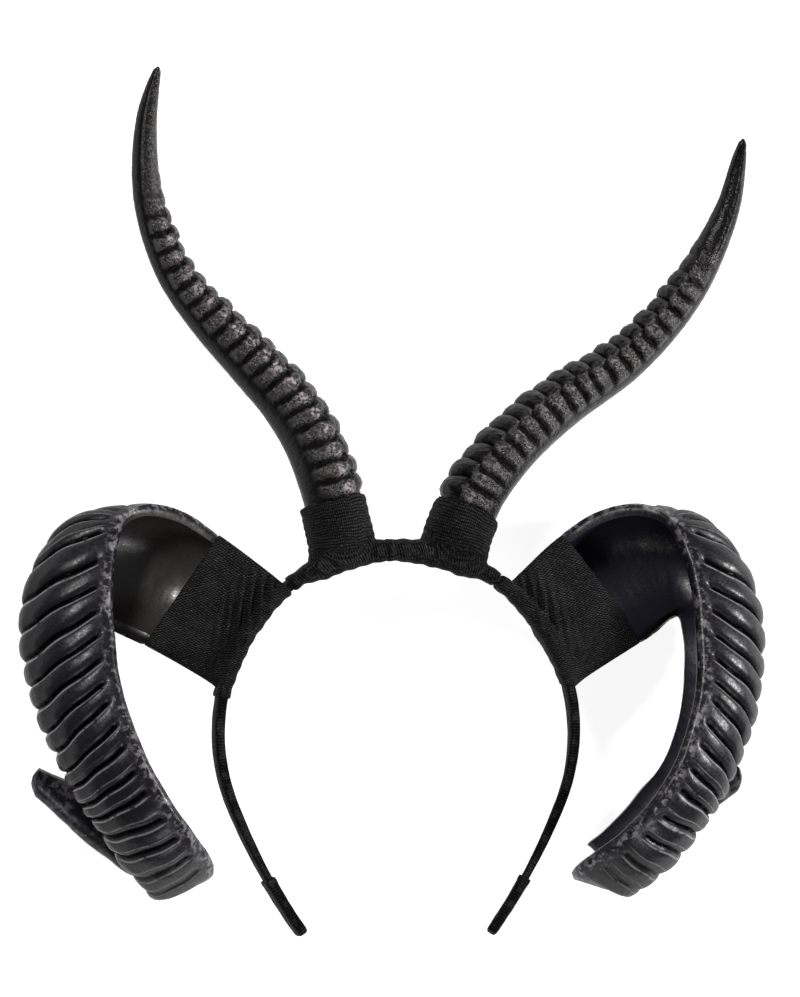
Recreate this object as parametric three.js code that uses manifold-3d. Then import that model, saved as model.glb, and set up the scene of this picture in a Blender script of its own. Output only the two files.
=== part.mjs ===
// Devil horns headband: a fabric hairband carrying two tall ringed horns and two curled ram horns.
import * as THREE from "three";
import { mergeVertices } from "three/addons/utils/BufferGeometryUtils.js";
import Module from "manifold-3d";

const wasm = await Module();
wasm.setup();

// Driving dimensions in millimetres: x runs across the band, y up to its crown, z out of its front.
const GAP = 0.3;
const CLOTH = 1.4;

// Band: a flat strip bent through three arcs down each leg, the right leg turned a little about its length.
const BAND = { crown: 63.9, width: 8, thickness: 4, endThickness: 2.5, corner: 0.9, step: 9 };
const BAND_TWIST = { from: 92, to: 130, degrees: 12 };
const BAND_ARCS = [
  { radius: 67, sweep: 72 },
  { radius: 69.5, sweep: 40 },
  { radius: 225, sweep: 13.5 },
];
const BAND_REACH = BAND_ARCS.reduce((sum, arc) => sum + arc.radius * THREE.MathUtils.degToRad(arc.sweep), 0);
const BAND_END = { length: 22, wall: 1, tip: 2 };

// Tall horns: centre line and radius from the band to the tip, one table a side as they are tied on unevenly.
const TALL_COLUMNS = ["x", "y", "z", "radius"];
const TALL_LEFT = named(TALL_COLUMNS, [
  [-20.2, 61.0, 0, 10.6],
  [-22.4, 76.0, -2, 10.6],
  [-25.5, 89.0, -5, 10.4],
  [-30.5, 104.0, -10, 10.2],
  [-38.8, 118.5, -15.5, 9.8],
  [-51.3, 133.0, -20.0, 9.0],
  [-65.2, 148.0, -23.2, 7.8],
  [-77.0, 162.7, -25.4, 6.4],
  [-83.8, 177.4, -26.4, 5.8],
  [-87.9, 192.0, -26.2, 5.3],
  [-89.6, 207.0, -24.0, 4.8],
  [-89.7, 221.5, -20.5, 3.9],
  [-88.5, 232.0, -17.0, 2.8],
  [-86.8, 241.0, -13.0, 1.2],
]);
const TALL_RIGHT = named(TALL_COLUMNS, [
  [21.0, 61.0, 0, 10.9],
  [26.5, 76.0, -2, 10.9],
  [34.4, 89.0, -5, 10.7],
  [48.6, 103.8, -10, 10.0],
  [67.2, 118.0, -16, 9.3],
  [90.7, 132.5, -21.5, 8.0],
  [107.5, 147.8, -24.1, 7.1],
  [119.0, 162.7, -26.0, 6.6],
  [127.0, 177.4, -26.5, 5.7],
  [132.8, 192.0, -25.2, 4.4],
  [135.7, 207.0, -23.0, 2.9],
  [136.8, 216.0, -19.5, 1.2],
]);
const TALL_RIBS = { count: 20, above: 1.2, pitch: 7.2, height: 1.5, fadeFrom: 110, fadeTo: 140 };
const TALL_SIDES = 10;
const TALL_WRAPS = {
  left: { reach: 20, radius: 12.5, flare: 0.7, cuffFrom: -36, cuffTo: -4.4 },
  right: { reach: 17.5, radius: 12.8, flare: 0.7, cuffFrom: -3.8, cuffTo: 35 },
  growth: { outer: GAP + CLOTH, inner: 3.6, edge: GAP + CLOTH },
};

// Ram horns: the two edges of the open shell section by section, drawn for the right side.
// bulge: depth of the shell behind its opening; hollow: share of that depth left open inside;
// lag: how far a rib trails along the horn from the near edge to the middle of its back.
// The first section is the foot of the cloth sleeve on the band and the second the root of the horn.
const RAM_COLUMNS = ["nearX", "nearY", "nearZ", "farX", "farY", "farZ", "bulge", "hollow", "lag"];
const RAM_SECTIONS = named(RAM_COLUMNS, [
  [43.5, 49.5, 0, 66.0, 13.5, 0, 3.5, 1.0, 0],
  [50.0, 55.0, -2.0, 73.0, 18.5, -2.0, 8, 1.0, 0],
  [64.5, 66.5, -8.0, 91.5, 29.5, -5.0, 22, 1.0, 0],
  [79.0, 75.2, -7.0, 99.5, 33.5, -10.0, 23, 1.0, 2],
  [92.0, 77.8, -4.0, 105.0, 36.5, -15.0, 22, 1.0, 5],
  [100.5, 75.0, 0, 110.0, 38.5, -20.5, 21, 1.0, 8],
  [105.0, 68.0, 4.0, 113.0, 38.5, -25.0, 22, 1.0, 10],
  [108.5, 53.0, 10.5, 115.0, 34.5, -27.5, 25, 1.0, 13],
  [109.5, 37.5, 15.2, 115.8, 23.0, -26.0, 26, 1.0, 14],
  [108.4, 15.5, 22.3, 112.3, 4.0, -18.7, 24.5, 1.0, 12],
  [104.6, 0.7, 26.1, 107.0, -9.5, -13.5, 23, 0.95, 8],
  [99.0, -14.0, 28.4, 102.0, -18.0, -10.6, 22.5, 0.9, 3],
  [90.2, -28.7, 27.4, 96.0, -24.0, -9.2, 22.5, 0.8, -2],
  [81.0, -39.8, 21.5, 89.5, -32.5, -11.0, 23, 0.65, -2],
  [73.5, -47.5, 11.5, 82.0, -41.0, -15.0, 22, 0.5, 0],
  [68.5, -54.0, -2.0, 78.0, -45.0, -19.5, 21, 0.42, 0],
  [71.0, -57.0, -17.0, 81.0, -44.0, -25.0, 19, 0.36, 0],
  [82.0, -55.0, -29.0, 90.5, -38.5, -27.0, 18, 0.32, 0],
  [96.0, -45.5, -34.0, 103.5, -30.0, -24.0, 15.5, 0.28, 0],
  [113.0, -33.0, -31.0, 118.0, -22.5, -18.0, 11, 0.25, 0],
  [132.5, -20.0, -20.0, 133.5, -15.5, -11.0, 6, 0.2, 0],
]);
const RAM_ROOT = 1;
const RAM_WALL = 2.2;
const RAM_RIBS = { count: 24, above: 1.5, pitch: 9.4, height: 1.7, border: 4.5 };
const RAM_POINTS = 7;
const RAM_WRAP = { places: [0, 0.5, 1, 1.4, 1.8, 2.1], front: 1.6 };
const RAM_CUFFS = {
  left: { from: 45, to: 93 },
  right: { from: 41, to: 88 },
  growth: { outer: GAP + CLOTH, inner: CLOTH, edge: GAP + CLOTH },
};

const COLORS = { cloth: 0x0d0d0e, ribbon: 0x121213, horn: 0x17141a, shell: 0x1c1820 };

function named(columns, rows) {
  return rows.map((row) => Object.fromEntries(columns.map((key, i) => [key, row[i]])));
}

// A smooth value at any place along a table: place 2.5 lies halfway between rows 2 and 3.
function along(rows, place) {
  const last = rows.length - 1;
  const start = THREE.MathUtils.clamp(Math.floor(place), 0, last - 1);
  const u = place - start;
  const row = (i) => rows[THREE.MathUtils.clamp(start + i, 0, last)];
  const blend = (a, b, c, d) =>
    b + 0.5 * u * (c - a + u * (2 * a - 5 * b + 4 * c - d + u * (3 * (b - c) + d - a)));
  const value = (key) => [key, blend(row(-1)[key], row(0)[key], row(1)[key], row(2)[key])];
  return Object.fromEntries(Object.keys(rows[0]).map(value));
}

// Turns distances along a curve into places in its table, and back.
function pacer(pointAt, from, to) {
  const steps = 400;
  const marks = [0];
  let before = pointAt(from);
  for (let i = 1; i <= steps; i++) {
    const point = pointAt(from + ((to - from) * i) / steps);
    marks.push(marks[i - 1] + point.distanceTo(before));
    before = point;
  }
  const placeAt = (distance) => {
    const i = THREE.MathUtils.clamp(marks.findIndex((mark) => mark >= distance), 1, steps);
    const part = distance >= marks[steps] ? 1 : (distance - marks[i - 1]) / (marks[i] - marks[i - 1]);
    return from + ((to - from) * (i - 1 + part)) / steps;
  };
  const distanceAt = (place) => {
    const step = ((place - from) / (to - from)) * steps;
    const i = THREE.MathUtils.clamp(Math.floor(step), 0, steps - 1);
    return THREE.MathUtils.lerp(marks[i], marks[i + 1], step - i);
  };
  return { placeAt, distanceAt, length: marks[steps] };
}

// A closed skin over a row of rings with equal, even point counts, capped flat at both ends.
function loft(rings) {
  const n = rings[0].length;
  const faces = [];
  for (let k = 0; k + 1 < rings.length; k++) {
    for (let i = 0; i < n; i++) {
      const j = (i + 1) % n;
      const [a, b, c, d] = [k * n + i, k * n + j, (k + 1) * n + j, (k + 1) * n + i];
      faces.push(a, b, c, a, c, d);
    }
  }
  const end = (rings.length - 1) * n;
  for (let i = 0; i + 1 < n / 2; i++) {
    const [a, b, c, d] = [i, i + 1, n - 2 - i, n - 1 - i];
    faces.push(a, c, b, a, d, c);
    faces.push(end + a, end + b, end + c, end + a, end + c, end + d);
  }
  const geometry = new THREE.BufferGeometry().setFromPoints(rings.flat());
  geometry.setIndex(faces);
  return facingOut(geometry);
}

function facingOut(geometry) {
  const at = geometry.getAttribute("position");
  const corner = (i) => new THREE.Vector3().fromBufferAttribute(at, i);
  const index = geometry.index.array;
  let volume = 0;
  for (let i = 0; i < index.length; i += 3) {
    volume += corner(index[i]).dot(corner(index[i + 1]).cross(corner(index[i + 2])));
  }
  if (volume < 0) {
    for (let i = 0; i < index.length; i += 3) [index[i], index[i + 1]] = [index[i + 1], index[i]];
  }
  return geometry;
}

function solidOf(geometry) {
  const merged = mergeVertices(geometry, 1e-4);
  return new wasm.Manifold(
    new wasm.Mesh({
      numProp: 3,
      vertProperties: new Float32Array(merged.getAttribute("position").array),
      triVerts: new Uint32Array(merged.index.array),
    }),
  );
}

function geometryOf(solid) {
  const mesh = solid.getMesh();
  const geometry = new THREE.BufferGeometry();
  geometry.setAttribute("position", new THREE.BufferAttribute(new Float32Array(mesh.vertProperties), 3));
  geometry.setIndex(new THREE.BufferAttribute(new Uint32Array(mesh.triVerts), 1));
  return geometry;
}

const mirrored = (rings) => rings.map((ring) => ring.map((p) => new THREE.Vector3(-p.x, p.y, p.z)));

const spread = (from, to, count) =>
  Array.from({ length: count }, (_, i) => from + ((to - from) * i) / (count - 1));

// Band line: distance runs from the crown, positive down the right leg and negative down the left.
function bandAt(distance) {
  const side = distance < 0 ? -1 : 1;
  let rest = Math.abs(distance);
  let heading = 0;
  let x = 0;
  let y = BAND.crown;
  for (const { radius, sweep } of BAND_ARCS) {
    const turn = Math.min(rest / radius, THREE.MathUtils.degToRad(sweep));
    x += radius * (Math.sin(heading + turn) - Math.sin(heading));
    y += radius * (Math.cos(heading + turn) - Math.cos(heading));
    heading += turn;
    rest -= turn * radius;
  }
  x += rest * Math.cos(heading);
  y -= rest * Math.sin(heading);
  const turned = THREE.MathUtils.smoothstep(distance, BAND_TWIST.from, BAND_TWIST.to) * BAND_TWIST.degrees;
  const line = new THREE.Vector3(side * Math.cos(heading), -Math.sin(heading), 0);
  const out = new THREE.Vector3(side * Math.sin(heading), Math.cos(heading), 0);
  const front = new THREE.Vector3(0, 0, 1);
  out.applyAxisAngle(line, THREE.MathUtils.degToRad(turned));
  front.applyAxisAngle(line, THREE.MathUtils.degToRad(turned));
  return { centre: new THREE.Vector3(x * side, y, 0), out, front };
}

// Strip section with cut corners, grown by the given amounts out, in and to both edges.
function stripRing(distance, { outer = 0, inner = 0, edge = 0, scale = 1 } = {}) {
  const { centre, out, front } = bandAt(distance);
  const thinned = THREE.MathUtils.smoothstep(Math.abs(distance), BAND_REACH - 60, BAND_REACH);
  const thickness = THREE.MathUtils.lerp(BAND.thickness, BAND.endThickness, thinned);
  const top = (thickness / 2 + outer) * scale;
  const under = (thickness / 2 + inner) * scale;
  const half = (BAND.width / 2 + edge) * scale;
  const cut = (BAND.corner + edge * 0.6) * scale;
  const corners = [
    [top, half - cut],
    [top - cut, half],
    [cut - under, half],
    [-under, half - cut],
    [-under, cut - half],
    [cut - under, -half],
    [top - cut, -half],
    [top, cut - half],
  ];
  return corners.map(([a, b]) => centre.clone().addScaledVector(out, a).addScaledVector(front, b));
}

// A strip along the band between two distances; every strip bends at the same stations.
function strip(one, other, growth) {
  const [from, to] = [Math.min(one, other), Math.max(one, other)];
  const stations = [from];
  for (let k = Math.ceil(from / BAND.step + 0.1); k * BAND.step < to - 0.1 * BAND.step; k++) {
    stations.push(k * BAND.step);
  }
  stations.push(to);
  return loft(stations.map((distance) => stripRing(distance, growth)));
}

const bandRoom = (one, other) => solidOf(strip(one, other, { outer: GAP, inner: GAP, edge: GAP }));

const band = () => strip(-BAND_REACH, BAND_REACH);

// A cloth cover with a rounded end, hollowed for the end of the band.
function bandEnd(side) {
  const { length, wall, tip } = BAND_END;
  const grown = GAP + wall;
  const from = BAND_REACH - length;
  const rings = spread(from, BAND_REACH, 4).map((distance) => [distance, 1]);
  rings.push([BAND_REACH + tip * 0.6, 0.82], [BAND_REACH + tip, 0.5]);
  const skin = rings.map(([distance, scale]) =>
    stripRing(side * distance, { outer: grown, inner: grown, edge: grown, scale }),
  );
  const room = bandRoom(side * (from - 1), side * (BAND_REACH + GAP));
  return geometryOf(solidOf(loft(skin)).subtract(room));
}

// Tall horn: a frame at a place, with `rib` pointing at the ringed side of the horn.
function tallFrame(rows, side, place) {
  const at = along(rows, place);
  const step = 0.01;
  const a = along(rows, place - step);
  const b = along(rows, place + step);
  const line = new THREE.Vector3(b.x - a.x, b.y - a.y, b.z - a.z).normalize();
  const rib = new THREE.Vector3(-side * line.y, side * line.x, 0).normalize();
  const front = new THREE.Vector3().crossVectors(line, rib).multiplyScalar(-side);
  return { centre: new THREE.Vector3(at.x, at.y, at.z), line, rib, front, radius: at.radius };
}

function tallRing({ centre, rib, front }, radiusAt, sides = TALL_SIDES) {
  return Array.from({ length: sides }, (_, i) => {
    const angle = (2 * Math.PI * (i + 0.5)) / sides;
    const radius = radiusAt(angle);
    return centre
      .clone()
      .addScaledVector(rib, radius * Math.cos(angle))
      .addScaledVector(front, radius * Math.sin(angle));
  });
}

// Rib height at a turn about the horn: full over the ringed side, none on the smooth outer strip.
function tallRibShare(angle) {
  const off = Math.abs(THREE.MathUtils.radToDeg(Math.atan2(Math.sin(angle), Math.cos(angle))));
  return 1 - THREE.MathUtils.smoothstep(off, TALL_RIBS.fadeFrom, TALL_RIBS.fadeTo);
}

function tallPacer(rows) {
  const pointAt = (place) => {
    const at = along(rows, place);
    return new THREE.Vector3(at.x, at.y, at.z);
  };
  return pacer(pointAt, 0, rows.length - 1);
}

function tallHorn(rows, side, wrap) {
  const { placeAt, length } = tallPacer(rows);
  const { count, above, pitch, height } = TALL_RIBS;
  const first = wrap.reach + above;
  const last = first + count * pitch;
  const stations = spread(0, first - 8, 2).map((distance) => ({ distance, rise: 0 }));
  for (let i = 0; i < count; i++) {
    const fade = Math.min(1, (count - i) / 4);
    for (const [part, rise] of [[0, 0], [0.3, 1], [0.7, 1]]) {
      stations.push({ distance: first + pitch * (i + part), rise: rise * height * fade });
    }
  }
  for (const distance of spread(last, length, 6)) stations.push({ distance, rise: 0 });
  const rings = stations.map(({ distance, rise }) => {
    const frame = tallFrame(rows, side, placeAt(distance));
    return tallRing(frame, (angle) => frame.radius + rise * tallRibShare(angle));
  });
  return geometryOf(solidOf(loft(rings)).subtract(bandRoom(side * 2, side * 50)));
}

// Knitted ribbon wound round the foot of a tall horn, with a cuff round the band.
function tallWrap(rows, side, { reach, radius, flare, cuffFrom, cuffTo }) {
  const { placeAt } = tallPacer(rows);
  const tube = (from, to, radiusAt) => {
    const rings = spread(from, to, 4).map((distance) =>
      tallRing(tallFrame(rows, side, placeAt(distance)), () => radiusAt(distance), 14),
    );
    return solidOf(loft(rings));
  };
  const outer = tube(0.5, reach, (distance) => radius + flare * (1 - distance / reach));
  const clothCuff = solidOf(strip(cuffFrom, cuffTo, TALL_WRAPS.growth));
  const room = tube(0, reach + 2, () => radius - CLOTH);
  return geometryOf(outer.add(clothCuff).subtract(room).subtract(bandRoom(cuffFrom - 2, cuffTo + 2)));
}

// Ram horn: middle of the opening, half its width towards the near edge, and the direction of the back.
function ramFrame(place) {
  const middleAt = (p) => {
    const at = along(RAM_SECTIONS, p);
    return new THREE.Vector3(at.nearX + at.farX, at.nearY + at.farY, at.nearZ + at.farZ).multiplyScalar(0.5);
  };
  const at = along(RAM_SECTIONS, place);
  const across = new THREE.Vector3(at.nearX - at.farX, at.nearY - at.farY, at.nearZ - at.farZ);
  const half = across.multiplyScalar(0.5);
  const line = middleAt(place + 0.02).sub(middleAt(place - 0.02)).normalize();
  const back = new THREE.Vector3().crossVectors(half, line).normalize();
  return { ...at, middle: middleAt(place), half, back };
}

// A point of a section at a turn from the near edge (0) round the back (90) to the far edge (180).
function ramPoint(frame, angle, widen, deepen) {
  const share = 1 + widen / frame.half.length();
  return frame.middle
    .clone()
    .addScaledVector(frame.half, share * Math.cos(angle))
    .addScaledVector(frame.back, deepen * Math.sin(angle));
}

function ramPacer() {
  const backAt = (place) => {
    const frame = ramFrame(place);
    return ramPoint(frame, Math.PI / 2, 0, frame.bulge * 0.8);
  };
  return pacer(backAt, RAM_ROOT, RAM_SECTIONS.length - 1);
}

function ramStations({ distanceAt, length }) {
  const { count, above, pitch, height } = RAM_RIBS;
  const covered = RAM_WRAP.places.filter((place) => place >= RAM_ROOT).map(distanceAt);
  const stations = covered.map((distance) => ({ distance, rise: 0 }));
  const first = covered.at(-1) + above;
  for (let i = 0; i < count; i++) {
    const fade = THREE.MathUtils.clamp((count - i) / 6, 0, 1);
    for (const [part, rise] of [[0, 0], [0.3, 1], [0.7, 1]]) {
      stations.push({ distance: first + pitch * (i + part), rise: rise * height * fade });
    }
  }
  for (const distance of spread(first + pitch * count, length, 4)) stations.push({ distance, rise: 0 });
  return stations;
}

// The shell's ring: round the ribbed back from edge to edge, then back along the hollow side.
function ramRing(distance, rise, placeAt) {
  const frame = ramFrame(placeAt(distance));
  const angles = spread(0, Math.PI, RAM_POINTS);
  const outside = angles.map((angle) => {
    const lagged = ramFrame(placeAt(distance + frame.lag * Math.sin(angle)));
    const fromEdge = lagged.half.length() * (1 - Math.abs(Math.cos(angle)));
    const lift = rise * THREE.MathUtils.smoothstep(fromEdge, 0, RAM_RIBS.border);
    return ramPoint(lagged, angle, lift, lagged.bulge + lift);
  });
  const inside = angles.map((angle) => {
    const lagged = ramFrame(placeAt(distance + frame.lag * Math.sin(angle)));
    const wall = Math.min(RAM_WALL, lagged.half.length() * 0.4);
    return ramPoint(lagged, angle, -wall, (lagged.bulge - wall) * lagged.hollow);
  });
  return [...outside, ...inside.reverse()];
}

function ramHorn(side) {
  const pace = ramPacer();
  const rings = ramStations(pace).map(({ distance, rise }) => ramRing(distance, rise, pace.placeAt));
  return loft(side < 0 ? mirrored(rings) : rings);
}

// Cloth sleeve over the foot of a ram horn, narrowing to a cuff round the band.
function ramWrap(side, cuff) {
  const { places, front } = RAM_WRAP;
  const turns = spread(0, 2 * Math.PI, 2 * RAM_POINTS - 1).slice(0, -1);
  const sleeve = (at, grown) => {
    const rings = at.map((place) => {
      const frame = ramFrame(place);
      return turns.map((angle) => {
        const deep = Math.sin(angle) < 0 ? front : frame.bulge;
        return ramPoint(frame, angle, grown, deep + grown);
      });
    });
    return solidOf(loft(side < 0 ? mirrored(rings) : rings));
  };
  const clothCuff = solidOf(strip(side * cuff.from, side * cuff.to, RAM_CUFFS.growth));
  const outer = sleeve(places, GAP + CLOTH).add(clothCuff);
  const room = sleeve([0.1, ...places.slice(1), places.at(-1) + 0.1], GAP);
  const strap = bandRoom(side * (cuff.from - BAND.step), side * (cuff.to + BAND.step));
  return geometryOf(outer.subtract(room).subtract(strap));
}

function piece(name, geometry, color, roughness) {
  const material = new THREE.MeshStandardMaterial({ color, roughness, metalness: 0 });
  const flat = geometry.toNonIndexed();
  flat.computeVertexNormals();
  const mesh = new THREE.Mesh(flat, material);
  mesh.name = name;
  return mesh;
}

const headband = new THREE.Group();
headband.name = "devil_horns_headband";
headband.add(
  piece("band", band(), COLORS.cloth, 0.9),
  piece("band_end_left", bandEnd(-1), COLORS.cloth, 0.9),
  piece("band_end_right", bandEnd(1), COLORS.cloth, 0.9),
  piece("upper_horn_left", tallHorn(TALL_LEFT, -1, TALL_WRAPS.left), COLORS.horn, 0.45),
  piece("upper_horn_right", tallHorn(TALL_RIGHT, 1, TALL_WRAPS.right), COLORS.horn, 0.45),
  piece("upper_wrap_left", tallWrap(TALL_LEFT, -1, TALL_WRAPS.left), COLORS.ribbon, 0.95),
  piece("upper_wrap_right", tallWrap(TALL_RIGHT, 1, TALL_WRAPS.right), COLORS.ribbon, 0.95),
  piece("ram_horn_left", ramHorn(-1), COLORS.shell, 0.5),
  piece("ram_horn_right", ramHorn(1), COLORS.shell, 0.5),
  piece("ram_wrap_left", ramWrap(-1, RAM_CUFFS.left), COLORS.ribbon, 0.95),
  piece("ram_wrap_right", ramWrap(1, RAM_CUFFS.right), COLORS.ribbon, 0.95),
);

// The headband lies on its back, so its lowest points rest at z = 0 and its outline is centred on x and y.
const box = new THREE.Box3().setFromObject(headband);
const middle = box.getCenter(new THREE.Vector3());
for (const mesh of headband.children) mesh.geometry.translate(-middle.x, -middle.y, -box.min.z);

export default headband;
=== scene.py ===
# Devil horns headband: ringed tall horns, ribbed ram shells, wound cloth and a ribbon band.
import math

import bmesh
import bpy
import numpy as np
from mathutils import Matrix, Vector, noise


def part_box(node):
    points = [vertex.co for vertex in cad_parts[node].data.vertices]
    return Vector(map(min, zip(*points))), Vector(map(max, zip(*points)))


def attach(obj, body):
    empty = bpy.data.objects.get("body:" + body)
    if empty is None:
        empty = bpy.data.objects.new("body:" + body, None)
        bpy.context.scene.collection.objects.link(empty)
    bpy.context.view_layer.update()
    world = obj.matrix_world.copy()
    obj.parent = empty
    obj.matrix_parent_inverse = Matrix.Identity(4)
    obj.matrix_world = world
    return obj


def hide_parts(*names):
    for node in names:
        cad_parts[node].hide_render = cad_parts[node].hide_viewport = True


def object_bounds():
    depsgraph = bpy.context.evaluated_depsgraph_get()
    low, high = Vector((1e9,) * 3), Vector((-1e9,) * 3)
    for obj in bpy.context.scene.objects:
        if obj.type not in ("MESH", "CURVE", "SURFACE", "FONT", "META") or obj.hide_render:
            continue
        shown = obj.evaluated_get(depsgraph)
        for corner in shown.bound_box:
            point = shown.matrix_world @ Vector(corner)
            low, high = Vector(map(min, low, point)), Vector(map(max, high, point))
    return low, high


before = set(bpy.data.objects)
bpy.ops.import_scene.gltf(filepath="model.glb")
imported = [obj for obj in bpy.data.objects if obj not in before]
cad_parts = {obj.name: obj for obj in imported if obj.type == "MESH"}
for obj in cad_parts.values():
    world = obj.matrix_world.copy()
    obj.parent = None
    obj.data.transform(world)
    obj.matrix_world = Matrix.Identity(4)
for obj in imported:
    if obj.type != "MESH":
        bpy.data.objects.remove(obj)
CAD_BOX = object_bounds()

# Sizes are millimetres in the drawing frame: x across, y up to the crown, z out of the front.
MM = 0.001
SIDES = {"left": -1, "right": 1}
SHARP_ANGLE = 55
PACE_STEPS = 801
BATCH = 4000

# Shares of a pitch by which the rings and rolls wander along a horn and round it.
RING_DRIFT = 0.05
RING_WAVER = 0.03

# Cloth: its thickness, its gap to what it covers, and how its forms are fused, softened and merged.
CLOTH = 1.4
GAP = 0.3
FUSE = {"voxel": 0.5, "soften": 0.5, "passes": 5, "merge": 0.001}

# Band: three arcs down each leg, as radius and sweep in degrees.
BAND = {"crown": 63.9, "width": 8.0, "thickness": 4.0, "end_thickness": 2.5, "thin_over": 60}
BAND_ARCS = [(67, 72), (69.5, 40), (225, 13.5)]
BAND_REACH = sum(radius * math.radians(sweep) for radius, sweep in BAND_ARCS)
BAND_TWIST = {"from": 92, "to": 130, "degrees": 12}
BAND_END = {"length": 22, "wall": 0.5, "tip": 2.0}
BAND_TIP = {"from": 0.1, "to": 0.97}
BAND_HEM = {"height": 0.06, "at": 1.2, "width": 0.9}
BAND_MESH = {"steps": 420, "sides": 40, "end_steps": 60, "tip_steps": 14, "weave_steps": 750}

# Roughness of each kind of piece, in layers of height, lump size and seed.
TALL_ROUGH = [(0.26, 1.1, 0), (0.18, 3.0, 7)]
RAM_ROUGH = [(0.10, 2.2, 3), (0.35, 9.0, 11)]
BAND_ROUGH = [(0.12, 4.0, 21)]
BAND_END_ROUGH = [(0.22, 4.0, 31)]

# Cuffs round the band: growth outwards, inwards and at the edges, and the band's room past their ends.
CUFF_GROWTH = {"tall": (1.7, 3.4, 1.9), "ram": (0.9, 1.4, 1.0), "thin": (0.8, 0.9, 0.7)}
CUFF = {"steps": 110, "sides": 48, "room_sides": 32, "corner": 3.2, "taper": 14, "end": 3, "at_crown": 0.25}
STRAP_PAST = {"tall": 3, "ram": 9}
CUFF_SWELL = {"lumps": 0.35, "lump_size": 5.0, "turns": 0.18, "turn_rate": 1.1}

# Tall horns: x, y, z, radius from the band to the tip.
TALL_LEFT = np.array([
    [-20.2, 61.0, 0, 10.6],
    [-22.4, 76.0, -2, 10.6],
    [-25.5, 89.0, -5, 10.4],
    [-30.5, 104.0, -10, 10.2],
    [-38.8, 118.5, -15.5, 9.8],
    [-51.3, 133.0, -20.0, 9.0],
    [-65.2, 148.0, -23.2, 7.8],
    [-77.0, 162.7, -25.4, 6.4],
    [-83.8, 177.4, -26.4, 5.8],
    [-87.9, 192.0, -26.2, 5.3],
    [-89.6, 207.0, -24.0, 4.8],
    [-89.7, 221.5, -20.5, 3.9],
    [-88.5, 232.0, -17.0, 2.8],
    [-86.8, 241.0, -13.0, 1.2],
])
TALL_RIGHT = np.array([
    [21.0, 61.0, 0, 10.9],
    [26.5, 76.0, -2, 10.9],
    [34.4, 89.0, -5, 10.7],
    [48.6, 103.8, -10, 10.0],
    [67.2, 118.0, -16, 9.3],
    [90.7, 132.5, -21.5, 8.0],
    [107.5, 147.8, -24.1, 7.1],
    [119.0, 162.7, -26.0, 6.6],
    [127.0, 177.4, -26.5, 5.7],
    [132.8, 192.0, -25.2, 4.4],
    [135.7, 207.0, -23.0, 2.9],
    [136.8, 216.0, -19.5, 1.2],
])
TALL_ROWS = {"left": TALL_LEFT, "right": TALL_RIGHT}
TALL_START = 9.0
TALL_MESH = {"sides": 96, "step": 0.33, "nudge": 0.01}
TALL_TIP = {"from": 62, "to": 38, "round": 2.0, "blunt": 0.1}

# Rings of the tall horns; angles are in degrees round the horn from its inner edge.
TALL_RIBS = {"count": 20, "above": 1.2, "pitch": 7.2, "bead": 2.3, "bar": 1.9, "fade": 4}
TALL_BAR = {"flat": 0.42, "foot": 0.95}
TALL_STRIP = {"from": 104, "to": 122, "rings_end": 128, "edge": 113, "edge_width": 4}
TALL_SEAM = {"left": 48, "right": 57, "blend": 4, "shift": 0.34}
TALL_RIDGE = {"height": 0.4, "width": 5, "from": 20, "to": 60}
# Painted highlight on the bars: a band this many degrees past the seam, of this width.
TALL_PAINTED_GLINT = {"past_seam": 18, "width": 13}
# Per side: shares of the brown specks (scuffing, partly a painted sparkle highlight) on the outer strip and
# near the tip, and of the painted highlight band.
TALL_WEAR_AND_GLINT = {
    "left": {"strip": 0.05, "tip": 0.7, "painted_glint": 1.0},
    "right": {"strip": 0.42, "tip": 0.15, "painted_glint": 0.4},
}
TALL_WRAPS = {
    "left": {"reach": 20, "radius": 12.3, "cuff": (-43, -4.0), "fray": 0.6},
    "right": {"reach": 17.5, "radius": 12.6, "cuff": (-3.8, 40), "fray": 0.7},
}
TALL_SLEEVE = {"below": -4, "flat": 0.48, "torn": 5, "hollow_from": 1.5, "hollow_past": 4, "band_reach": 8.5}
TALL_SLEEVE_MESH = {"sides": 72, "steps": 70, "room_steps": 24, "strap_steps": 40, "weave_steps": 120}
TALL_WINDING = {"pitch": 11.0, "tilt": 4.5, "layer": 0.45, "flare": 0.9, "flare_reach": 4.0, "lean": 1.2}

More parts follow.
